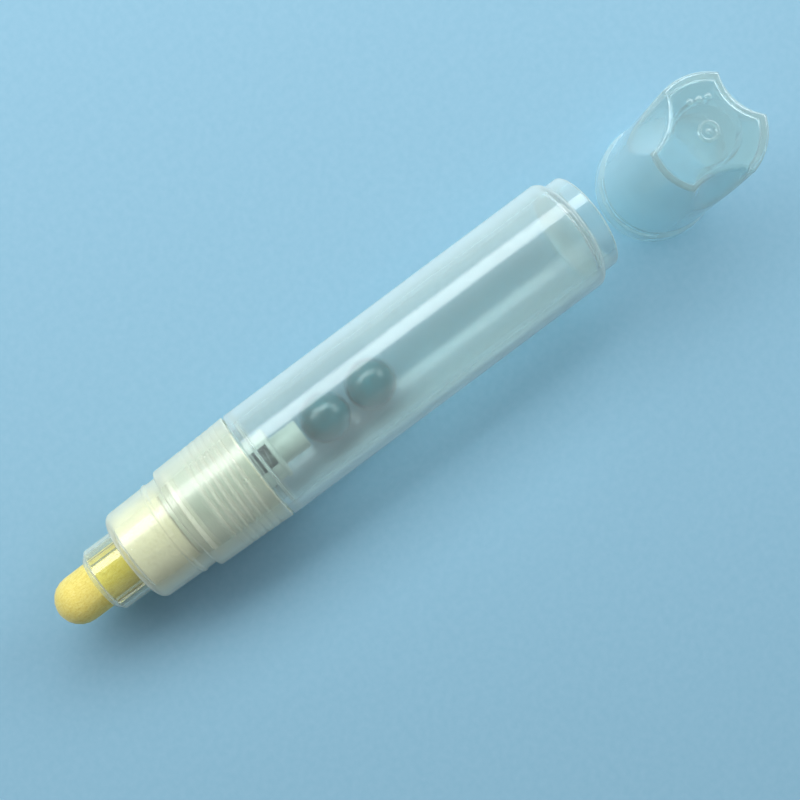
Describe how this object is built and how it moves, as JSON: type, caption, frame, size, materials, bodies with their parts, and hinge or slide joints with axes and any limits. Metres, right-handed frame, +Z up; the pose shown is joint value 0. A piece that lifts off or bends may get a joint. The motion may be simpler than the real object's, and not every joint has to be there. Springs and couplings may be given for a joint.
{
  "type": "refillable paint marker with cap",
  "caption": "Refillable felt-tip paint marker: see-through barrel with mixing balls, screw-on nib section with push valve, and a cap with finger scoops.",
  "frame": {"origin": "middle of the whole object's box, on the surface it stands on", "axes": "+X from the nib to the pen's tail and on to the cap, +Z up; the pen lies on its side and the cap stands on its mouth"},
  "size_m": [0.1568, 0.0248, 0.0339],
  "materials": {
    "clear_plastic": "milky, see-through, moulded",
    "liner_plastic": "milky, soft",
    "nib_felt": "pressed polyester felt",
    "sponge": "porous, matt",
    "gasket": "soft, matt",
    "white_plastic": "plain moulded",
    "spring_steel": "drawn wire",
    "ball_glass": "polished, dark green-blue glass"
  },
  "bodies": {
    "barrel": {"barrel": "clear_plastic", "valve_housing": "white_plastic", "valve_end_cap": "white_plastic", "neck_gasket": "gasket", "valve_spring": "spring_steel"},
    "sponge": {"buffer_sponge": "sponge"},
    "front": {"front_section": "clear_plastic"},
    "nib": {"nib": "nib_felt"},
    "plunger": {"valve_plunger": "white_plastic"},
    "ball_front": {"mixing_ball_front": "ball_glass"},
    "ball_rear": {"mixing_ball_rear": "ball_glass"},
    "cap": {"cap_shell": "clear_plastic", "cap_liner": "liner_plastic"}
  },
  "joints": [
    {"name": "section_travel", "type": "slide", "parent": "barrel", "child": "sponge", "axis": [-1, 0, 0], "range_m": [0, 0.0096]},
    {"name": "section_turn", "type": "hinge", "parent": "sponge", "child": "front", "pos_m": [-0.05838, 0.00075, 0.01165], "axis": [-1, 0, 0], "range_deg": [0, 2160]},
    {"name": "nib_press", "type": "slide", "parent": "sponge", "child": "nib", "axis": [1, 0, 0], "range_m": [0, 0.0025], "stiffness_N_per_m": 800, "springref_m": -0.001},
    {"name": "valve_open", "type": "slide", "parent": "barrel", "child": "plunger", "axis": [1, 0, 0], "range_m": [0, 0.0025], "deforming": ["valve_spring"]},
    {"name": "front_ball_roll", "type": "slide", "parent": "barrel", "child": "ball_front", "axis": [1, 0, 0], "range_m": [0, 0.02]},
    {"name": "rear_ball_roll", "type": "slide", "parent": "ball_front", "child": "ball_rear", "axis": [1, 0, 0], "range_m": [0, 0.02]},
    {"name": "cap_lift", "type": "slide", "parent": "barrel", "child": "cap", "axis": [0, 0, 1], "range_m": [0, 0.06]}
  ],
  "couplings": [
    {"joint": "section_turn", "follows": "section_travel", "rad_per_m": 3927},
    {"joint": "valve_open", "follows": "nib_press", "ratio": 1}
  ]
}
